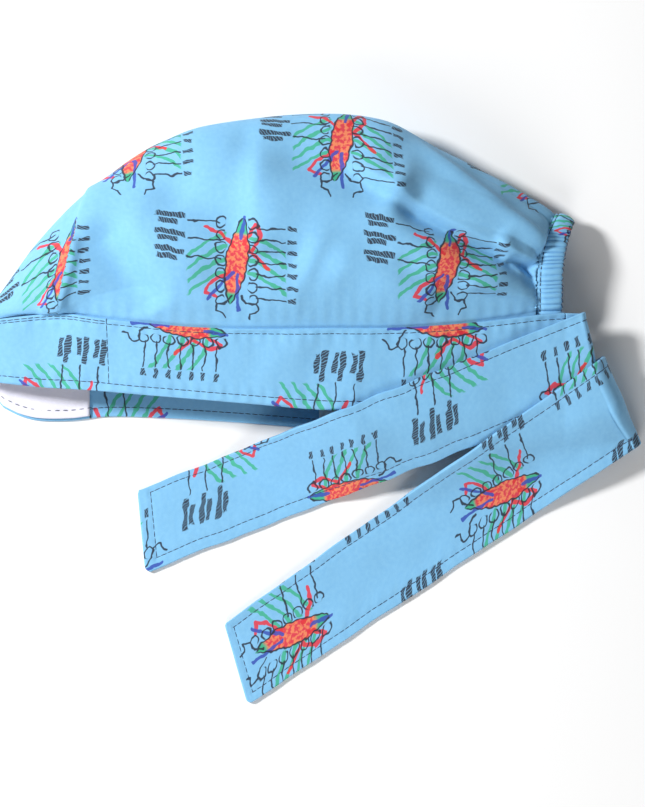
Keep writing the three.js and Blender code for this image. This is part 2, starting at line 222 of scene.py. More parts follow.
def arch(near, fold, far, top, ground, t):
    """A rib of cloth: from a near point (t = -1) over to the outline, under, and to a far point."""
    out = np.sin((1 + np.minimum(t, 0)) * math.pi / 2)
    over = np.cos((1 + np.minimum(t, 0)) * math.pi / 2)
    sag = np.maximum(0, 1 - out / SHOULDER) ** 2
    upper = mix(near, fold, out[..., None])
    upper_height = fold[..., 2] + (top - fold[..., 2]) * over - (top - near[..., 2]) * sag
    length = np.hypot(fold[..., 0] - far[..., 0], fold[..., 1] - far[..., 1])
    turn = np.minimum(TURN_DEPTH, 0.6 * length)
    angle = np.clip(t / 0.4, 0, 1) * math.pi / 2
    along = np.maximum(t - 0.4, 0) / 0.6
    inward = turn * (1 - np.cos(angle)) + (length - turn) * along
    rise = np.minimum(RISE_RUN, length - turn)
    lower = mix(fold, far, (inward / length)[..., None])
    lift = (far[..., 2] - ground) * ease((inward - length + rise) / rise)
    lower_height = mix(fold[..., 2], ground, np.sin(angle)) + lift
    point = np.where((t <= 0)[..., None], upper, lower)
    point[..., 2] = np.where(t <= 0, upper_height, lower_height)
    return point


def nape_edge(t):
    """The crown's edge on the elastic casing, level with the middle of the casing."""
    at = (t + 1) * (len(CASING["z"]) - 1) / 2
    turned = np.cos((np.clip(t * 3, -1, 1) + 1) * math.pi / 2)
    height = through(CASING["z"], at) + turned * 0.65
    return np.stack([through(CASING["innerX"], at), through(CASING["innerY"], at), height], axis=-1)


def fold_height(x, y):
    """How far the crown stands out or in along its folds."""
    total = np.zeros(x.shape)
    for i in range(len(FOLDS["height"])):
        from_x, from_y, to_x, to_y, bow, height, left, right = (FOLDS[name][i] for name in FOLDS)
        length = math.hypot(to_x - from_x, to_y - from_y)
        along_x, along_y = (to_x - from_x) / length, (to_y - from_y) / length
        share = ((x - from_x) * along_x + (y - from_y) * along_y) / length
        held = np.clip(share, 0, 1)
        aside = (y - from_y) * along_x - (x - from_x) * along_y - 4 * bow * held * (1 - held)
        width = np.where(aside > 0, left, right)
        ends = ease(share / 0.25 + 0.35) * ease((1 - share) / 0.15 + 0.6)
        total += height * ends * np.exp(-((aside / width) ** 2))
    return total


def outward(points):
    """The direction out of a face at every point of its grid."""
    across = np.gradient(points, axis=0)
    along = np.gradient(points, axis=1)
    square = np.cross(across, along)
    return square / np.maximum(np.linalg.norm(square, axis=-1, keepdims=True), 1e-9)


def arc_lengths(points, axis):
    steps = np.linalg.norm(np.diff(points, axis=axis), axis=-1)
    start = np.zeros_like(np.take(steps, [0], axis=axis))
    return np.concatenate([start, np.cumsum(steps, axis=axis)], axis=axis)


# ---------------------------------------------------------------- meshes

# Set once, from where the CAD band stands: what is added to a place to move it into the frame.
placing = {"shift": np.zeros(3)}


def mesh_object(name, points, faces, cloth=None, material=None, smooth=True):
    """A mesh object from points in millimetres, with its cloth map if it has one."""
    mesh = bpy.data.meshes.new(name)
    flat = (np.asarray(points).reshape(-1, 3) + placing["shift"]) * MM
    if cloth is not None:
        flat[:, 2] = np.maximum(flat[:, 2], RESTING * MM)
    faces = np.asarray(faces, dtype=np.int32)
    mesh.vertices.add(len(flat))
    mesh.vertices.foreach_set("co", flat.ravel())
    mesh.loops.add(faces.size)
    mesh.loops.foreach_set("vertex_index", faces.ravel())
    mesh.polygons.add(len(faces))
    mesh.polygons.foreach_set("loop_start", np.arange(0, faces.size, faces.shape[1]))
    mesh.update(calc_edges=True)
    mesh.polygons.foreach_set("use_smooth", np.full(len(faces), smooth))
    if cloth is not None:
        layer = mesh.uv_layers.new(name="cloth")
        layer.data.foreach_set("uv", np.asarray(cloth)[faces.ravel()].ravel())
    mesh.validate()
    body = bpy.data.objects.new(name, mesh)
    bpy.context.scene.collection.objects.link(body)
    if material:
        mesh.materials.append(material)
    return body


def grid_faces(rows, columns, first=0, turned=False):
    i, j = np.meshgrid(np.arange(rows - 1), np.arange(columns - 1), indexing="ij")
    corner = (first + i * columns + j).ravel()
    faces = np.stack([corner, corner + columns, corner + columns + 1, corner + 1], axis=1)
    return faces[:, ::-1] if turned else faces


def wall(name, face, inner, outer, cloth, material):
    """A closed wall of cloth on a face, from its inner to its outer distance off the face."""
    rows, columns = face.shape[:2]
    normal = outward(face)
    outside = face + normal * np.broadcast_to(outer, (rows, columns))[..., None]
    inside = face + normal * np.broadcast_to(inner, (rows, columns))[..., None]
    layer = rows * columns
    index = np.arange(layer).reshape(rows, columns)
    ring = np.concatenate([index[:-1, 0], index[-1, :-1], index[:0:-1, -1], index[0, :0:-1]])
    onward = np.roll(ring, -1)
    rim = np.stack([ring, ring + layer, onward + layer, onward], axis=1)
    faces = np.concatenate([grid_faces(rows, columns), grid_faces(rows, columns, layer, True), rim])
    points = np.concatenate([outside.reshape(-1, 3), inside.reshape(-1, 3)])
    both = np.concatenate([cloth.reshape(-1, 2)] * 2)
    return mesh_object(name, points, faces, both, material)


def rounding(from_edge, radius):
    """The share of a wall's thickness left near its edge, so that the edge is round."""
    near = np.clip(from_edge / radius, 0, 1)
    return np.sqrt(np.maximum(1 - (1 - near) ** 2, 0.02))


def spread(stops):
    """Values between stops, given as (value, steps from the stop before)."""
    values = [np.array([stops[0][0]], float)]
    for (start, _), (end, steps) in zip(stops, stops[1:]):
        values.append(np.linspace(start, end, steps + 1)[1:])
    return np.concatenate(values)


# ---------------------------------------------------------------- materials


class Flow:
    """A value in a node tree that can be used in a formula."""

    def __init__(self, tree, socket):
        self.tree, self.socket = tree, socket

    def put(self, kind, operation, *values, clamp=False):
        node = self.tree.nodes.new(kind)
        node.operation = operation
        if clamp:
            node.use_clamp = True
        for slot, value in zip(node.inputs, values):
            if isinstance(value, Flow):
                self.tree.links.new(value.socket, slot)
            else:
                slot.default_value = value
        return node

    def math(self, operation, *others, clamp=False):
        node = self.put("ShaderNodeMath", operation, self, *others, clamp=clamp)
        return Flow(self.tree, node.outputs[0])

    def vector(self, operation, *others):
        node = self.put("ShaderNodeVectorMath", operation, self, *others)
        return Flow(self.tree, node.outputs[0])

    def __add__(self, other):
        return self.math("ADD", other)

    def __sub__(self, other):
        return self.math("SUBTRACT", other)

    def __mul__(self, other):
        return self.math("MULTIPLY", other)

    def __truediv__(self, other):
        return self.math("DIVIDE", other)

    def __abs__(self):
        return self.math("ABSOLUTE")

    def least(self, other):
        return self.math("MINIMUM", other)

    def most(self, other):
        return self.math("MAXIMUM", other)

    def cover(self, edge_at, soft=0.16):
        """One where the value is under an edge, nought over it."""
        node = self.tree.nodes.new("ShaderNodeMapRange")
        node.interpolation_type = "SMOOTHSTEP"
        self.tree.links.new(self.socket, node.inputs["Value"])
        node.inputs["From Min"].default_value = edge_at - soft
        node.inputs["From Max"].default_value = edge_at + soft
        node.inputs["To Min"].default_value = 1.0
        node.inputs["To Max"].default_value = 0.0
        return Flow(self.tree, node.outputs["Result"])


def group_tree(name, inputs, outputs):
    """A shader node group with named sockets, and the flows of its inputs."""
    tree = bpy.data.node_groups.new(name, "ShaderNodeTree")
    for label, kind, value in inputs:
        socket = tree.interface.new_socket(label, in_out="INPUT", socket_type=kind)
        if value is not None:
            socket.default_value = value
    for label, kind in outputs:
        tree.interface.new_socket(label, in_out="OUTPUT", socket_type=kind)
    entry = tree.nodes.new("NodeGroupInput")
    leave = tree.nodes.new("NodeGroupOutput")
    flows = {label: Flow(tree, entry.outputs[label]) for label, _, _ in inputs}
    return tree, flows, leave


def nearest_step(value, pitch, low, high):
    """The distance from a value to the nearest of several even steps, and that step's number."""
    number = (value / pitch).math("ROUND").most(low).least(high)
    return value - number * pitch, number


def stroke(place, start, end):
    """The distance from a place to a straight pen stroke."""
    reach = Vector((end[0] - start[0], end[1] - start[1], 0))
    offset = place.vector("SUBTRACT", (*start, 0))
    share = place.put("ShaderNodeVectorMath", "DOT_PRODUCT", offset, reach / reach.length_squared)
    held = Flow(place.tree, share.outputs["Value"]).math("ADD", 0.0, clamp=True)
    scaled = place.tree.nodes.new("ShaderNodeVectorMath")
    scaled.operation = "SCALE"
    scaled.inputs[0].default_value = reach
    place.tree.links.new(held.socket, scaled.inputs["Scale"])
    gap = offset.vector("SUBTRACT", Flow(place.tree, scaled.outputs[0]))
    length = place.put("ShaderNodeVectorMath", "LENGTH", gap)
    return Flow(place.tree, length.outputs["Value"])


def strokes(place, points):
    """The distance from a place to a bent pen stroke through several points."""
    total = None
    for start, end in zip(points, points[1:]):
        distance = stroke(place, start, end)
        total = distance if total is None else total.least(distance)
    return total


def colour_over(tree, below, above, mask):
    node = tree.nodes.new("ShaderNodeMix")
    node.data_type = "RGBA"
    factor, first, second = node.inputs["Factor"], node.inputs[6], node.inputs[7]
    tree.links.new(mask.socket, factor)
    for slot, value in ((first, below), (second, above)):
        if isinstance(value, Flow):
            tree.links.new(value.socket, slot)
        else:
            slot.default_value = (*value, 1.0)
    return Flow(tree, node.outputs[2])


def noise(tree, place, scale, detail=2.0, colour=False):
    node = tree.nodes.new("ShaderNodeTexNoise")
    node.inputs["Scale"].default_value = scale
    node.inputs["Detail"].default_value = detail
    tree.links.new(place.socket, node.inputs["Vector"])
    return Flow(tree, node.outputs["Color" if colour else "Fac"])


MOTIF_WIDE = 92.0
MOTIF_HIGH = 57.0
GREEN = (0.035, 0.42, 0.22)
RED = (0.70, 0.02, 0.035)
ORANGE = (0.86, 0.22, 0.07)
PEN_BLUE = (0.03, 0.07, 0.42)
PEN_BLACK = (0.012, 0.016, 0.032)


def print_group():
    """A repeated pen drawing in half drop: a spindle with ribs, loops and leader lines."""
    tree, flows, leave = group_tree(
        "pen_print",
        [("Cloth", "NodeSocketVector", None), ("Ground", "NodeSocketColor", (0.3, 0.66, 0.9, 1))],
        [("Colour", "NodeSocketColor"), ("Ink", "NodeSocketFloat")],
    )
    cloth = flows["Cloth"]
    split = tree.nodes.new("ShaderNodeSeparateXYZ")
    tree.links.new(cloth.socket, split.inputs[0])
    across, up = Flow(tree, split.outputs[0]), Flow(tree, split.outputs[1])
    row = (up / MOTIF_HIGH).math("ROUND")
    dropped = across + row.math("FLOORED_MODULO", 2.0) * (MOTIF_WIDE / 2)
    column = (dropped / MOTIF_WIDE).math("ROUND")
    still_x = dropped - column * MOTIF_WIDE
    still_y = up - row * MOTIF_HIGH
    joined = tree.nodes.new("ShaderNodeCombineXYZ")
    tree.links.new(still_x.socket, joined.inputs[0])
    tree.links.new(still_y.socket, joined.inputs[1])
    shake = noise(tree, cloth, 0.22, 1.5, colour=True).vector("SUBTRACT", (0.5, 0.5, 0.5))
    shaken = shake.vector("MULTIPLY", (3.2, 3.2, 0.0))
    place = Flow(tree, joined.outputs[0]).vector("ADD", shaken)
    split = tree.nodes.new("ShaderNodeSeparateXYZ")
    tree.links.new(place.socket, split.inputs[0])
    x, y = Flow(tree, split.outputs[0]), Flow(tree, split.outputs[1])
    side = abs(x)

    droop = side * side * 0.021
    rib_gap, _ = nearest_step(y + droop - 1.0, 5.6, -1, 2)
    rib_reach = abs(side - 13.0)
    ribs = abs(rib_gap).cover(0.95) * rib_reach.cover(8.5, 0.5)

    loop_gap, _ = nearest_step(y, 5.8, -3, 3)
    from_loop = (side - 7.0) * (side - 7.0) + loop_gap * loop_gap
    loops = abs(from_loop.math("SQRT") - 2.3).cover(0.36) * (side * -1.0).cover(-5.2, 0.4)

    right_gap, right_number = nearest_step(y + x * 0.06, 5.3, -3, 3)
    right_end = abs(x - 15.0)
    leaders = abs(right_gap).cover(0.36) * right_end.cover(6.5, 0.3)
    right_hatch = (y * 5.5 + x * 3.4).math("SINE").cover(0.88, 0.5)
    marks = abs(right_gap).cover(0.95) * abs(x - 24.4).cover(2.1, 0.3) * right_hatch
    left_gap, _ = nearest_step(y + x * 0.13 - 8.0, 8.2, -1, 1)
    left_lines = abs(left_gap).cover(0.38) * abs(x + 14.5).cover(7.5, 0.3)
    left_hatch = (x * 5.2 + y * 2.6).math("SINE").cover(0.9, 0.5)
    first_row = abs(left_gap - 1.5).cover(1.2) * abs(x + 29.5).cover(6.6, 0.4)
    second_row = abs(left_gap + 1.5).cover(1.15) * abs(x + 30.5).cover(4.4, 0.4)
    scrawls = first_row.most(second_row) * left_hatch

    lean = x - y * 0.15
    taper = (y * y * (-1 / 400.0) + 1.0).most(0.0)
    into_body = abs(lean) - taper * 4.8
    body = into_body.cover(0.0, 0.25) * abs(y).cover(19.4, 0.4)
    outline = abs(into_body).cover(0.38) * abs(y).cover(19.0, 0.5)
    tips = (abs(y + 1.0) * -1.0).cover(-13.0, 1.2)

    red_pen = strokes(place, [(-14, 15), (-7, 12.5), (-1.5, 6)])
    red_pen = red_pen.least(strokes(place, [(3, 8), (8.5, 17), (10.5, 12), (6, 4), (10, 0.5), (14, -3)]))
    red_pen = red_pen.least(strokes(place, [(-3, -5), (-11, -9.5), (-14, -14), (-9.5, -15.5)]))
    blue_pen = strokes(place, [(-2, -5), (-12.5, -17)]).least(strokes(place, [(0, -6), (0.5, -22.5)]))
    blue_pen = blue_pen.least(strokes(place, [(3.5, 20), (1.5, 10)]))
    mirrored = tree.nodes.new("ShaderNodeCombineXYZ")
    tree.links.new(side.socket, mirrored.inputs[0])
    tree.links.new(y.socket, mirrored.inputs[1])
    tail_pen = strokes(
        Flow(tree, mirrored.outputs[0]),
        [(2.0, -15.5), (4.5, -18.5), (8.6, -19.6), (9.2, -23.0), (6.0, -24.2), (5.2, -26.4)],
    )

    mottle = noise(tree, cloth, 0.55, 3.0)
    ink = flows["Ground"]
    ink = colour_over(tree, ink, GREEN, ribs * 0.86)
    fill = colour_over(tree, RED, ORANGE, (mottle * -1.0).cover(-0.5, 0.07))
    fill = colour_over(tree, fill, GREEN, tips)
    ink = colour_over(tree, ink, fill, body * 0.95)
    ink = colour_over(tree, ink, RED, red_pen.cover(0.85) * 0.92)
    ink = colour_over(tree, ink, PEN_BLUE, blue_pen.cover(0.75) * 0.92)
    lines = leaders.most(marks).most(left_lines).most(scrawls).most(loops).most(outline)
    lines = lines.most(tail_pen.cover(0.42))
    ink = colour_over(tree, ink, PEN_BLACK, lines * 0.94)
    tree.links.new(ink.socket, leave.inputs["Colour"])
    tree.links.new(lines.socket, leave.inputs["Ink"])
    return tree


def weave_group():
    """Plain woven cloth: crossed threads as a height, and a slight unevenness as a mask."""
    tree, flows, leave = group_tree(
        "plain_weave",
        [("Cloth", "NodeSocketVector", None), ("Pitch", "NodeSocketFloat", 0.55)],
        [("Height", "NodeSocketFloat"), ("Uneven", "NodeSocketFloat")],
    )
    split = tree.nodes.new("ShaderNodeSeparateXYZ")
    tree.links.new(flows["Cloth"].socket, split.inputs[0])
    turns = [Flow(tree, split.outputs[i]) * (2 * math.pi) / flows["Pitch"] for i in (0, 1)]
    warp, weft = (abs((turn * 0.5).math("SINE")) for turn in turns)
    over = (turns[0] * 0.5).math("SINE") * (turns[1] * 0.5).math("SINE")
    fine = noise(tree, flows["Cloth"], 1.6, 3.0)
    height = warp + weft + over * 0.5 + fine * 0.8
    tree.links.new(height.socket, leave.inputs["Height"])
    slub = noise(tree, flows["Cloth"], 0.45, 4.0)
    tree.links.new(slub.socket, leave.inputs["Uneven"])
    return tree


def cloth_input(tree, name="cloth"):
    node = tree.nodes.new("ShaderNodeUVMap")
    node.uv_map = name
    return node.outputs["UV"]


def woven_material(name, light, dark, weave, pen_print=None, bump=0.12, sheen=0.1):
    """Woven cloth, lighter and darker thread by thread, with a print where it has one."""
    material = bpy.data.materials.new(name)
    material.use_nodes = True
    tree = material.node_tree
    surface = tree.nodes["Principled BSDF"]
    cloth = cloth_input(tree)
    threads = tree.nodes.new("ShaderNodeGroup")
    threads.node_tree = weave
    tree.links.new(cloth, threads.inputs["Cloth"])
    ground = colour_over(tree, dark, light, Flow(tree, threads.outputs["Uneven"]))
    if pen_print:
        drawing = tree.nodes.new("ShaderNodeGroup")
        drawing.node_tree = pen_print
        tree.links.new(cloth, drawing.inputs["Cloth"])
        tree.links.new(ground.socket, drawing.inputs["Ground"])
        tree.links.new(drawing.outputs["Colour"], surface.inputs["Base Color"])
    else:
        tree.links.new(ground.socket, surface.inputs["Base Color"])
    relief = tree.nodes.new("ShaderNodeBump")
    relief.inputs["Strength"].default_value = bump
    relief.inputs["Distance"].default_value = 0.15 * MM
    tree.links.new(threads.outputs["Height"], relief.inputs["Height"])
    tree.links.new(relief.outputs["Normal"], surface.inputs["Normal"])
    surface.inputs["Roughness"].default_value = 0.82
    surface.inputs["Sheen Weight"].default_value = sheen
    surface.inputs["Sheen Roughness"].default_value = 0.5
    return material


def thread_material(name, colour):
    material = bpy.data.materials.new(name)
    material.use_nodes = True
    tree = material.node_tree
    surface = tree.nodes["Principled BSDF"]
    place = tree.nodes.new("ShaderNodeTexCoord")
    twist = noise(tree, Flow(tree, place.outputs["Object"]), 1800.0, 1.0)
    tone = colour_over(tree, tuple(0.5 * c for c in colour), colour, twist)
    tree.links.new(tone.socket, surface.inputs["Base Color"])
    surface.inputs["Roughness"].default_value = 0.55
    return material


weave = weave_group()
pen_print = print_group()
SKY_LIGHT = (0.25, 0.565, 0.835)
SKY_DARK = (0.175, 0.455, 0.755)
printed = woven_material("printed_cotton", SKY_LIGHT, SKY_DARK, weave, pen_print)
brushed = woven_material("brushed_white_cotton", (0.84, 0.83, 0.92), (0.77, 0.76, 0.87), weave, bump=0.3)
tape = woven_material("white_tape", (0.9, 0.9, 0.88), (0.8, 0.8, 0.8), weave, bump=0.2)
thread = thread_material("navy_thread", (0.035, 0.055, 0.13))

# ---------------------------------------------------------------- stitches


def stitch_tree():
    """Thread along a seam: a short round stitch at every step of a curve, turned along it."""
    tree = bpy.data.node_groups.new("stitch_row", "GeometryNodeTree")
    face = tree.interface
    face.new_socket("Geometry", in_out="INPUT", socket_type="NodeSocketGeometry")
    for label, kind, value in (
        ("Pitch", "NodeSocketFloat", 3.0 * MM),
        ("Length", "NodeSocketFloat", 2.6 * MM),
        ("Thickness", "NodeSocketFloat", 0.5 * MM),
        ("Thread", "NodeSocketMaterial", None),
        ("Seed", "NodeSocketInt", 4),
    ):
        socket = face.new_socket(label, in_out="INPUT", socket_type=kind)
        if value is not None:
            socket.default_value = value
    face.new_socket("Geometry", in_out="OUTPUT", socket_type="NodeSocketGeometry")
    node = tree.nodes.new
    link = tree.links.new
    entry, leave = node("NodeGroupInput"), node("NodeGroupOutput")
    curve = node("GeometryNodeMeshToCurve")
    link(entry.outputs["Geometry"], curve.inputs[0])
    even = node("GeometryNodeCurveToPoints")
    even.mode = "LENGTH"
    link(curve.outputs[0], even.inputs["Curve"])
    link(entry.outputs["Pitch"], even.inputs["Length"])
    stitch = node("GeometryNodeMeshUVSphere")
    stitch.inputs["Segments"].default_value = 6
    stitch.inputs["Rings"].default_value = 5
    stitch.inputs["Radius"].default_value = 0.5
    size = node("ShaderNodeCombineXYZ")
    link(entry.outputs["Length"], size.inputs["Z"])
    link(entry.outputs["Thickness"], size.inputs["X"])
    link(entry.outputs["Thickness"], size.inputs["Y"])
    shape = node("GeometryNodeTransform")
    link(stitch.outputs["Mesh"], shape.inputs["Geometry"])
    link(size.outputs[0], shape.inputs["Scale"])
    wander = node("FunctionNodeRandomValue")
    wander.data_type = "FLOAT_VECTOR"
    wander.inputs["Min"].default_value = (-0.05, -0.05, -0.05)
    wander.inputs["Max"].default_value = (0.05, 0.05, 0.05)
    link(entry.outputs["Seed"], wander.inputs["Seed"])
    heading = node("ShaderNodeVectorMath")
    heading.operation = "ADD"
    link(even.outputs["Tangent"], heading.inputs[0])
    link(wander.outputs["Value"], heading.inputs[1])
    turn = node("FunctionNodeAlignEulerToVector")
    turn.axis = "Z"
    link(heading.outputs[0], turn.inputs["Vector"])
    place = node("GeometryNodeInstanceOnPoints")
    link(even.outputs["Points"], place.inputs["Points"])
    link(shape.outputs[0], place.inputs["Instance"])
    link(turn.outputs[0], place.inputs["Rotation"])
    whole = node("GeometryNodeRealizeInstances")
    link(place.outputs[0], whole.inputs[0])
    dressed = node("GeometryNodeSetMaterial")
    link(whole.outputs[0], dressed.inputs["Geometry"])
    link(entry.outputs["Thread"], dressed.inputs["Material"])
    link(dressed.outputs[0], leave.inputs[0])
    return tree


stitching = stitch_tree()


def sew(name, lines, pitch=3.0, length=3.1, thickness=0.44, seed=4):
    """Stitches along one or more lines of points, as one plain mesh."""
    points = np.concatenate(lines)
    mesh = bpy.data.meshes.new(name + "_line")
    edges, first = [], 0
    for line in lines:
        edges += [(first + i, first + i + 1) for i in range(len(line) - 1)]
        first += len(line)
    mesh.from_pydata(((points + placing["shift"]) * MM).tolist(), edges, [])
    guide = bpy.data.objects.new(name + "_guide", mesh)
    bpy.context.scene.collection.objects.link(guide)
    made = guide.modifiers.new("stitches", "NODES")
    made.node_group = stitching
    values = {"Pitch": pitch * MM, "Length": length * MM, "Thickness": thickness * MM}
    for item in stitching.interface.items_tree:
        if item.in_out == "INPUT" and item.name in values:
            made[item.identifier] = values[item.name]
        if item.in_out == "INPUT" and item.name == "Thread":
            made[item.identifier] = thread
        if item.in_out == "INPUT" and item.name == "Seed":
            made[item.identifier] = seed
    ready = guide.evaluated_get(bpy.context.evaluated_depsgraph_get())
    plain = bpy.data.meshes.new_from_object(ready)
    plain.name = name
    bpy.data.objects.remove(guide)
    row = bpy.data.objects.new(name, plain)
    bpy.context.scene.collection.objects.link(row)
    for polygon in plain.polygons:
        polygon.use_smooth = True
    return row


def on_grid(face, rows, columns, lift):
    """Points on a face's grid at fractional rows and columns, lifted off it."""
    normal = outward(face)
    points = []
    for row, column in zip(rows, columns):
        i, j = min(int(row), face.shape[0] - 2), min(int(column), face.shape[1] - 2)
        a, b = row - i, column - j
        share = [(i, j, (1 - a) * (1 - b)), (i + 1, j, a * (1 - b)), (i, j + 1, (1 - a) * b), (i + 1, j + 1, a * b)]
        points.append(sum(w * (face[p, q] + normal[p, q] * lift) for p, q, w in share))
    return np.array(points)


# ---------------------------------------------------------------- the band


def band_line(near, far, tip, u):
    """A line along the band: u is 0 to 1 near, 1 to 2 round the forehead, 2 to 3 far."""
    near_part = edge(near, (LAST + 1) * np.clip(1 - u, 0, 1))
    far_part = edge(far, (LAST + 1) * np.clip(u - 2, 0, 1))
    zero = np.zeros_like(u)
    start, end = edge(near, zero), edge(far, zero)
    level = BAND_OUT + zero
    front = arch(start, tip + 0 * start, end, start[..., 2], level, np.clip(2 * (u - 1) - 1, -1, 1))
    return np.where((u <= 1)[..., None], near_part, np.where((u >= 2)[..., None], far_part, front))


def band_face(u, w):
    """The face that the band is laid on: w is 0 at the open rim and 1 at the crown's seam."""
    rim = band_line("rim", "farRim", RIM_TIP, u)
    seam = band_line("seam", "farSeam", edge("fold", np.zeros(1))[0], u)
    return mix(rim, seam, w[..., None])


def band_grid(us, ws):
    u, w = np.meshgrid(us, ws, indexing="ij")
    return band_face(u, w), u, w


def eased_along(face, us, start, end):
    """Smooths a bend in a face along its rows, between two places along it."""
    first, last = np.searchsorted(us, (start, end))
    for _ in range(260):
        middle = (face[first - 1 : last - 1] + face[first + 1 : last + 1]) / 2
        face[first:last] = (face[first:last] + middle) / 2
    return face


band_us = spread([(0, 0), (1, 420), (2, 90), (3, 230)])
band_ws = spread([(1, 0), (0.985, 4), (0.02, 36), (0, 4)])
base_face, band_u, band_w = band_grid(band_us, band_ws)
base_face = eased_along(base_face, band_us, 0.95, 1.1)
base_face = eased_along(base_face, band_us, 1.93, 2.04)
band_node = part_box("band")
outer_edge = base_face + outward(base_face) * BAND_OUT
placing["shift"] = np.array(
    [
        band_node[0][0] / MM - outer_edge[..., 0].min(),
        band_node[1][1] / MM - outer_edge[..., 1].max(),
        0.0,
    ]
)

TOP_STITCH = 0.93
BOTTOM_STITCH = 0.115
SWEATBAND_NEAR_X = -94.0


def band_relief(face, u, w):
    """How the doubled band swells between its seams and puckers along them."""
    along = arc_lengths(face, 0)
    groove = sum(np.exp(-(((w - line) * BAND_HEIGHT / 1.1) ** 2)) for line in (TOP_STITCH, BOTTOM_STITCH))
    near_seam = sum(np.exp(-(((w - line) * BAND_HEIGHT / 4.5) ** 2)) for line in (TOP_STITCH, BOTTOM_STITCH))
    pucker = np.sin(along * 2 * math.pi / 6.1 + 1.7 * np.sin(along / 23.0)) * near_seam
    soft = ripple(along, w * BAND_HEIGHT, 34, 11)
    small = ripple(along, w * BAND_HEIGHT * 0.5, 11, 12)
    return 0.14 * pucker - 0.38 * groove + 0.7 * soft * (u < 2) + 0.16 * small


band_rise = band_relief(base_face, band_u, band_w)
from_rim = np.minimum(band_w, 1 - band_w) * BAND_HEIGHT
band_round = rounding(from_rim + 0.02, 0.8)
middle = GAP + BAND_WALL / 2
outer = middle + 0.5 * BAND_WALL * band_round + band_rise * (band_round > 0.99)
inner = middle - 0.5 * BAND_WALL * band_round
along_band = arc_lengths(base_face, 0)
near_end_x = BAND_END["seam"][0]
band_cloth = np.stack([(1 - band_w) * BAND_HEIGHT, near_end_x + 61.8 - along_band[:, :1] + 0 * band_w], axis=-1)
band = wall("forehead_band", base_face, inner, np.maximum(outer, inner + 0.3), band_cloth, printed)

# ---------------------------------------------------------------- the crown

crown_s = spread([(0, 0), (3.2, 84), (7, 78), (LAST, 78)])
crown_t = np.concatenate([[-1 - LAP, -1 - LAP / 2], spread([(-1, 0), (0, 112), (0.4, 22), (1, 34)]), [1 + LAP / 2, 1 + LAP]])


def crown_base(s, t):
    held = np.clip(t, -1, 1)
    rib = arch(
        edge("seam", s), edge("fold", s), edge("farSeam", s), through(SECTIONS["top"], s), BAND_OUT * fall(s), held
    )
    gathered = ease((s - 7) / (LAST - 7)) ** 2
    point = mix(rib, nape_edge(held), gathered[..., None])
    near_lap = mix(edge("seam", s), edge("rim", s), np.clip(-1 - t, 0, 1)[..., None])
    far_lap = mix(edge("farSeam", s), edge("farRim", s), np.clip(t - 1, 0, 1)[..., None])
    point = np.where((t < -1)[..., None], near_lap, point)
    return np.where((t > 1)[..., None], far_lap, point)


s, t = np.meshgrid(crown_s, crown_t, indexing="ij")
crown_face = crown_base(s, t)
normal = outward(crown_face)
x, y = crown_face[..., 0], crown_face[..., 1]
inside = np.clip((1 - np.abs(t)) * 7, 0, 1)
upper = np.where(t < 0, np.cos((1 + np.clip(t, -1, 0)) * math.pi / 2) ** 0.35, 0)
to_nape = (LAST - s) * 12.0
along_nape = nape_edge(np.clip(t, -1, 1))[..., 1]
gathers = np.sin(along_nape * 2 * math.pi / 2.3 + 1.4 * np.sin(along_nape * 0.9)) * np.exp(-to_nape / 5.0)
creased = np.abs(np.sin(along_nape * math.pi / 7.8 + 0.5 * np.sin(along_nape / 5.0))) ** 0.55
pleats = (creased - 0.7) * np.exp(-((to_nape / 24.0) ** 2)) * 1.5
along_seam = x
pucker = np.sin(along_seam * 2 * math.pi / 6.6 + 1.9 * np.sin(along_seam / 17)) * np.exp(-(1 + t) * 14)
soft = ripple(x, y, 55, 3) * 1.5 + ripple(x, y, 24, 5) * 0.5
rise = fold_height(x, y) * upper * inside * (1 - np.exp(-((to_nape / 7.0) ** 2)))
rise += np.where(t < 0.15, 1, 0.25) * inside * (0.6 * gathers + 1.25 * pleats * (1 - np.exp(-to_nape / 4)))
rise += np.where(t < 0, 0.22, 0) * pucker * np.clip((1 + t) * 30, 0, 1) + soft * upper * inside
crown_face = crown_face + normal * rise[..., None]
crown_face[..., 2] = np.maximum(crown_face[..., 2], 0.02)
crown_out = np.zeros(s.shape)
crown_in = np.full(s.shape, -CROWN_WALL)
rib_length = arc_lengths(crown_face, 1)
seam_index = 2
from_seam = rib_length - rib_length[:, seam_index : seam_index + 1]
tuck_line = -116 + (y - 38) * 14 / 56
tucked = np.where((x < tuck_line) & (t < 0), 18.0, 0.0)
crown_cloth = np.stack([x - tucked + 36.5, from_seam + 33.0 - 64.0], axis=-1)
crown = wall("crown_cloth", crown_face, crown_in, crown_out, crown_cloth, printed)

# ---------------------------------------------------------------- the elastic casing

CASING_STEPS = 760
CASING_SIDES = 36


def gather_height(along):
    """Ridges of gathered cloth across the casing: round on top, pinched between."""
    wave = np.abs(np.sin(along * math.pi / 2.05 + 0.9 * np.sin(along * 0.55) + 0.5 * np.sin(along * 0.21)))
    return wave**0.7


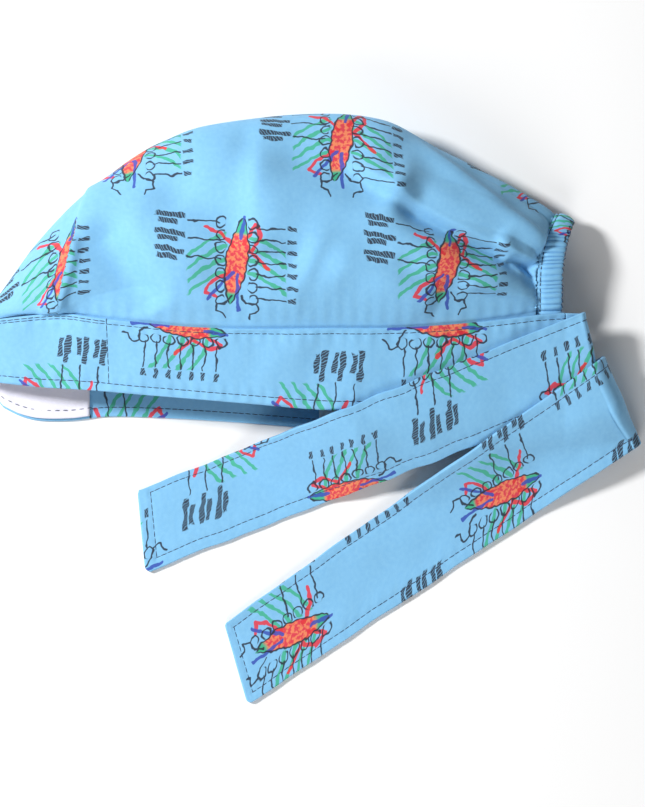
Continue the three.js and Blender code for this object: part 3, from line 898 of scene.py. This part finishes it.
def casing_mesh():
    at = np.linspace(0, len(CASING["z"]) - 1, CASING_STEPS + 1)
    height = through(CASING["z"], at)
    inner = np.stack([through(CASING["innerX"], at), through(CASING["innerY"], at), height], axis=-1)
    outer = np.stack([through(CASING["outerX"], at), through(CASING["outerY"], at), height], axis=-1)
    centre = (inner + outer) / 2
    across = outer - inner
    half = np.linalg.norm(across, axis=-1, keepdims=True) / 2 - GAP
    across = across / np.linalg.norm(across, axis=-1, keepdims=True)
    lift = np.cross(across, np.gradient(centre, axis=0))
    lift /= np.linalg.norm(lift, axis=-1, keepdims=True)
    along = arc_lengths(centre[:, None], 0)[:, 0]
    tucked_end = np.maximum(ease(1 - along / 4), ease(1 - (along[-1] - along) / 4))
    centre[:, 1] -= 1.7 * tucked_end
    centre[:, 2] -= np.where(along < along[-1] / 2, 2.0, 0.0) * tucked_end
    round_corner = np.exp(-(((along - along[-1] * 0.42) / 11) ** 2))
    ridge = gather_height(along)
    angle = np.arange(CASING_SIDES) * 2 * math.pi / CASING_SIDES
    cosine, sine = np.cos(angle)[None], np.sin(angle)[None]
    flat = np.sign(cosine) * np.abs(cosine) ** 0.72
    tall = np.sign(sine) * np.abs(sine) ** 0.8
    stitched = np.exp(-(((flat + 0.72) / 0.12) ** 2))
    puff = (1 - 0.75 * round_corner)[:, None]
    swell = 1.15 + 1.25 * mix(0.85, ridge[:, None], puff) * (1 - 0.35 * np.abs(flat))
    thick = swell * (1 - 0.32 * stitched)
    wide = half * flat + (0.6 * (ridge[:, None] - 0.6) * puff) * np.clip(flat, 0, 1)
    slant = 0.5 * np.sin(along * 1.3)[:, None] * (1 - flat**2)
    points = centre[:, None] + across[:, None] * wide[..., None] + lift[:, None] * (thick * tall)[..., None]
    points = points + np.gradient(centre, axis=0)[:, None] * (slant * 0.4)[..., None]
    rows, columns = points.shape[:2]
    index = np.arange(rows * columns).reshape(rows, columns)
    onward = np.roll(index, -1, axis=1)
    sides = np.stack([index[:-1], onward[:-1], onward[1:], index[1:]], axis=-1).reshape(-1, 4)
    ends = []
    for row, turned in ((0, True), (rows - 1, False)):
        for k in range(columns // 2 - 1):
            quad = [index[row, k], index[row, k + 1], index[row, -k - 2], index[row, -k - 1]]
            ends.append(quad[::-1] if turned else quad)
    cloth_x = 33.0 + wide + 0 * thick
    cloth_y = along[:, None] * 1.9 - 25.0 + 0 * thick
    cloth = np.stack([cloth_x, cloth_y], axis=-1).reshape(-1, 2)
    faces = np.concatenate([sides[:, ::-1], np.array(ends)])
    piece = mesh_object("casing_cloth", points, faces, cloth, printed)
    seam_ring = int(round(CASING_SIDES * math.acos(-0.72 ** (1 / 0.72)) / (2 * math.pi)))
    return piece, points[:, seam_ring] + lift * 0.12, points[:, 1] + across * 0.1


casing, casing_seam, casing_hem = casing_mesh()

# ---------------------------------------------------------------- sweatband and label

SWEATBAND_NEAR = 1 - 2.2 / (LAST + 1)
SWEATBAND_FAR = 2 + 2.55 / (LAST + 1)


def lining_wall(name, us, ws, thickness, material, seed, puff=0.5):
    face, u, w = band_grid(us, ws)
    if us[0] < 1 < us[-1]:
        face = eased_along(face, us, 0.95, 1.1)
        face = eased_along(face, us, 1.93, 2.04)
    along = arc_lengths(face, 0)
    down = arc_lengths(face, 1)
    ends = np.minimum(along, along[-1:] - along)
    sides = np.minimum(down, down[:, -1:] - down)
    left = rounding(np.minimum(ends, sides) + 0.02, 0.7)
    soft = puff * ripple(along, down, 16, seed) * np.clip(sides / 4, 0, 1)
    middle = -GAP - thickness / 2 - 0.1
    inside = middle - 0.5 * thickness * left - np.maximum(soft, -0.2) * (left > 0.9)
    cloth = np.stack([along, down], axis=-1)
    return wall(name, face, inside, middle + 0.5 * thickness * left, cloth, material), face


sweatband_us = spread([(SWEATBAND_NEAR, 0), (1, 84), (2, 90), (SWEATBAND_FAR, 54)])
sweatband_ws = spread([(0.81, 0), (0.79, 4), (0.05, 36), (0.03, 4)])
sweatband, sweatband_face = lining_wall(
    "forehead_sweatband", sweatband_us, sweatband_ws, SWEATBAND_WALL, brushed, 21
)
label_us = spread([(2 + 5.83 / (LAST + 1), 0), (2 + 6.24 / (LAST + 1), 30)])
label_ws = spread([(0.42, 0), (0.1, 30)])
label, _ = lining_wall("bare_label", label_us, label_ws, LABEL_WALL, tape, 22, 0.05)

# ---------------------------------------------------------------- the ties


def rest_on_band(x, y):
    """The height at which cloth rests on the near band and, past its rim, on the surface."""
    numbers = np.linspace(0, LAST + 1, 400)
    rim_line, seam_line = edge("rim", numbers), edge("seam", numbers)
    rim_y = np.interp(x, rim_line[:, 0], rim_line[:, 1])
    rim_z = np.interp(x, rim_line[:, 0], rim_line[:, 2])
    number = np.interp(x, rim_line[:, 0], numbers)
    seam_y = np.interp(number, numbers, seam_line[:, 1])
    seam_z = np.interp(number, numbers, seam_line[:, 2])
    up = (y - rim_y) / (seam_y - rim_y)
    past = rim_y - y + SINK_RATE * np.maximum(0, TIE_LEAVES_RIM_X - x)
    top = BAND_OUT + GAP
    return np.where(up >= 0, mix(rim_z, seam_z, up) + top, (rim_z + top) * fall(past / FALL_RUN))


def right_of(start, end, x, y):
    length = math.hypot(end[0] - start[0], end[1] - start[1])
    return ((x - start[0]) * (end[1] - start[1]) - (y - start[1]) * (end[0] - start[0])) / length


def lifted_off(rest):
    return rest + CAD_TIE_WALL / 2 + SLOPE_ROOM * ease(rest / SLOPE_START)


def left_under(x, y):
    return rest_on_band(x, y) - GAP - 0.8


def left_over(x, y):
    from_crease = right_of(TIE_LEFT["crease"][1], TIE_LEFT["crease"][0], x, y)
    return lifted_off(rest_on_band(x, y)) + LEFT_LOOP["height"] * fall(from_crease / LEFT_LOOP["run"])


def right_under(x, y):
    return CAD_TIE_WALL / 2 + 0 * x


def right_over(x, y):
    from_crease = right_of(TIE_RIGHT["crease"][1], TIE_RIGHT["crease"][0], x, y)
    loop = RIGHT_LOOP["height"] * fall(from_crease / RIGHT_LOOP["run"])
    past = right_of(TIE_LEFT["end"][0], TIE_LEFT["crease"][0], x, y)
    on_tie = (left_over(x, y) + CAD_TIE_WALL / 2 + SLOPE_ROOM + GAP) * fall((past - 4) / OVERLAP_RUN)
    return lifted_off(on_tie + loop * fall(on_tie / OVERLAP_HEIGHT))


def tie_face(corners, under, over, v, w):
    """A strap laid to its crease (v = 0 to 1 round the crease) and back over itself to its end."""

    def cross(name):
        low, high = (np.array(corner, float) for corner in corners[name])
        return mix(low, high, w[..., None])

    start, crease, end = cross("start"), cross("crease"), cross("end")
    inward = end - crease
    inward /= np.linalg.norm(inward, axis=-1, keepdims=True)
    low_end, high_end = (np.array(corner, float) for corner in corners["end"])
    to_side = np.minimum(w / LOW_CORNER, (1 - w) / HIGH_CORNER) * np.linalg.norm(high_end - low_end)
    corner = np.where(w < 0.5, LOW_CORNER, HIGH_CORNER)
    end = end - inward * (corner * (1 - np.sqrt(1 - np.clip(1 - to_side, 0, 1) ** 2)))[..., None]
    low, high = under(crease[..., 0], crease[..., 1]), over(crease[..., 0], crease[..., 1])
    bulge = 0.3 * (high - low)
    bend_at = crease + inward * bulge[..., None]
    below = mix(bend_at, start, np.clip(-v, 0, 1)[..., None])
    above = mix(bend_at, end, np.clip(v - 1, 0, 1)[..., None])
    angle = np.clip(v, 0, 1) * math.pi
    bend = bend_at - inward * (bulge * np.sin(angle))[..., None]
    plan = np.where((v < 0)[..., None], below, np.where((v > 1)[..., None], above, bend))
    x, y = plan[..., 0], plan[..., 1]
    height = np.where(v < 0, under(x, y), np.where(v > 1, over(x, y), mix(low, high, (1 - np.cos(angle)) / 2)))
    return np.stack([x, y, height], axis=-1)


def tie_wall(name, corners, under, over, seams, print_at, seed):
    """One tie with its edges rounded, sewn lines pressed in and the cloth slightly uneven."""
    vs = spread([(-1, 0), (0, 16), (1, 40), (1.985, 330), (2, 8)])
    ws = spread([(0, 0), (0.02, 4), (0.98, 44), (1, 4)])
    v, w = np.meshgrid(vs, ws, indexing="ij")
    face = tie_face(corners, under, over, v, w)
    along = arc_lengths(face, 0)
    down = arc_lengths(face, 1)
    width = down[:, -1:]
    crease_row = int(np.searchsorted(vs, 0.5))
    from_crease = along - along[crease_row : crease_row + 1]
    free = ease((v - 1.05) / 0.3)
    wave = ripple(along, down * 0.35, 46, seed) * 0.35 * free
    edge_wave = ripple(along, 0 * down, 21, seed + 1)
    face[..., 1] += 0.45 * edge_wave * free
    low_seam, high_seam, end_seam = seams
    to_end = along[-1:] - along
    lines = [down - low_seam, width - down - high_seam, to_end - end_seam]
    within = [to_end > end_seam - 1, to_end > end_seam - 1, (down > low_seam - 1) & (width - down > high_seam - 1)]
    groove = sum(np.exp(-((line / 1.0) ** 2)) * keep for line, keep in zip(lines, within))
    wide_groove = sum(np.exp(-((line / 4.0) ** 2)) for line in lines[:2])
    pucker = np.sin(along * 2 * math.pi / 6.3 + 1.6 * np.sin(along / 19)) * wide_groove * 0.1
    lump = ripple(along, down, 21, seed + 2) * 0.42
    left = rounding(np.minimum(np.minimum(down, width - down), np.minimum(along, to_end)) + 0.02, 0.8)
    half = 0.5 * TIE_WALL * left
    relief = (pucker + lump - 0.34 * groove) * (left > 0.97)
    rest = np.maximum(face[..., 2] + wave, half + 0.05 * left)
    face[..., 2] = np.where(v > 1, rest, face[..., 2])
    turn, cross_start, along_start = print_at
    cloth = np.stack([turn * (down - cross_start), turn * (from_crease - along_start)], axis=-1)
    piece = wall(name, face, -half - relief * 0.5, half + relief, cloth, printed)

    normal = outward(face)
    sides = {1: face + normal * (half + relief)[..., None], -1: face - normal * (half + relief * 0.5)[..., None]}

    def seam_points(distance_name):
        rows = np.arange(len(vs))
        if distance_name == "end":
            columns = np.linspace(0, len(ws) - 1, 40)
            shown = []
            for column in columns:
                j = int(round(column))
                if low_seam <= down[-1, j] <= width[-1, 0] - high_seam:
                    row = np.interp(end_seam, to_end[::-1, j], rows[::-1])
                    shown.append((row, j))
            return np.array(shown)
        shown = []
        for row in rows:
            target = low_seam if distance_name == "low" else width[row, 0] - high_seam
            if to_end[row, len(ws) // 2] >= end_seam - 0.2:
                shown.append((row, np.interp(target, down[row], np.arange(len(ws)))))
        return np.array(shown)

    lines = []
    for part in ("low", "high", "end"):
        spots = seam_points(part)
        for side in (1, -1):
            lines.append(on_grid(sides[side], spots[:, 0], spots[:, 1], -0.06 * side))
    return piece, sew(name + "_stitches", lines, seed=seed)


tie_left, tie_left_stitches = tie_wall(
    "left_tie", TIE_LEFT, left_under, left_over, (6.0, 3.6, 6.0), (1, 2.5, 123.0), 31
)
tie_right, tie_right_stitches = tie_wall(
    "right_tie", TIE_RIGHT, right_under, right_over, (5.0, 4.6, 4.0), (-1, 17.0, 76.0), 41
)

# ---------------------------------------------------------------- sewn lines on the band


band_top = base_face + outward(base_face) * np.maximum(outer, inner + 0.3)[..., None]
band_lining = base_face + outward(base_face) * inner[..., None]


def band_seam(face, w_line, u_from, u_to, lift):
    u = np.linspace(u_from, u_to, int(abs(u_to - u_from) * 300) + 2)
    rows = np.interp(u, band_us, np.arange(len(band_us)))
    column = np.interp(-w_line, -band_ws, np.arange(len(band_ws)))
    return on_grid(face, rows, np.full(len(u), column), lift)


def band_u_at(x):
    """The place along the near band at a distance along the cap."""
    near = band_us <= 1
    seam_x = base_face[near][:, 0, 0]
    return np.interp(-x, -seam_x, band_us[near])


SUNK = -0.06
patch_u = band_u_at(SWEATBAND_NEAR_X)
band_lines = [band_seam(band_top, line, 0.0, 3.0, SUNK) for line in (TOP_STITCH, BOTTOM_STITCH)]
band_lines += [band_seam(band_lining, line, 2.0, 3.0, -SUNK) for line in (TOP_STITCH, BOTTOM_STITCH)]
band_lines.append(band_seam(band_top, 0.965, patch_u + 0.01, 2.25, SUNK))
down_columns = np.interp(-np.linspace(0.965, 0.13, 40), -band_ws, np.arange(len(band_ws)))
patch_row = np.interp(patch_u, band_us, np.arange(len(band_us)))
band_lines.append(on_grid(band_top, np.full(40, patch_row), down_columns, SUNK))
band_stitches = sew("band_stitches", band_lines, seed=7)

casing_stitches = sew("casing_stitches", [casing_seam, casing_hem], pitch=2.6, length=2.5, thickness=0.42, seed=9)
hem_u = np.linspace(0, len(sweatband_us) - 1, 200)
hem_columns = np.full(200, np.interp(-0.13, -sweatband_ws, np.arange(len(sweatband_ws))))
hem = on_grid(sweatband_face, hem_u, hem_columns, -GAP - SWEATBAND_WALL - 0.15)
sweatband_stitches = sew("sweatband_stitches", [hem], pitch=3.6, length=2.3, thickness=0.4, seed=13)

# ---------------------------------------------------------------- floor, light and camera


def floor_plane():
    size = 1.6 / MM
    corners = [(-size, -size, -0.05), (size, -size, -0.05), (size, size, -0.05), (-size, size, -0.05)]
    material = bpy.data.materials.new("pale_floor")
    material.use_nodes = True
    surface = material.node_tree.nodes["Principled BSDF"]
    surface.inputs["Base Color"].default_value = (0.96, 0.96, 0.96, 1)
    surface.inputs["Roughness"].default_value = 0.9
    return mesh_object("floor", corners, [(0, 1, 2, 3)], None, material, smooth=False)


def area_light(name, place, size, power):
    data = bpy.data.lights.new(name, "AREA")
    data.shape = "DISK"
    data.size = size
    data.energy = power
    light = bpy.data.objects.new(name, data)
    light.location = place
    light.rotation_euler = (-Vector(place)).to_track_quat("-Z", "Y").to_euler()
    bpy.context.scene.collection.objects.link(light)


CAMERA_HEIGHT = 1.5
VIEW_TALL = 0.363


def overhead_camera():
    data = bpy.data.cameras.new("camera")
    data.sensor_fit = "VERTICAL"
    data.sensor_height = 36.0
    data.lens = 36.0 * CAMERA_HEIGHT / VIEW_TALL
    camera = bpy.data.objects.new("camera", data)
    aim = placing["shift"] * MM + Vector((1.1 * MM, -1.6 * MM, 0))
    camera.location = (aim[0], aim[1], CAMERA_HEIGHT)
    bpy.context.scene.collection.objects.link(camera)
    bpy.context.scene.camera = camera


floor = floor_plane()
area_light("window", (-0.9, 0.42, 0.86), 0.26, 19.5)
area_light("fill", (0.0, -1.2, 0.75), 0.9, 8.5)
world = bpy.data.worlds.new("sky")
world.use_nodes = True
world.node_tree.nodes["Background"].inputs["Color"].default_value = (1, 1, 1, 1)
world.node_tree.nodes["Background"].inputs["Strength"].default_value = 0.22
bpy.context.scene.world = world
bpy.context.scene.view_settings.view_transform = "Standard"
overhead_camera()

# ---------------------------------------------------------------- what stands for what

printed_pieces = {
    crown: ("crown_left", "crown_right"),
    band: ("band",),
    casing: ("elastic_casing",),
    tie_left: ("tie_left",),
    tie_right: ("tie_right",),
}
for piece, nodes in printed_pieces.items():
    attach(piece, "root")
    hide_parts(*nodes)
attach(sweatband, "root")
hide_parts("sweatband")
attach(label, "root")
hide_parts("label")
for piece in (band_stitches, casing_stitches, sweatband_stitches, tie_left_stitches, tie_right_stitches):
    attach(piece, "root")
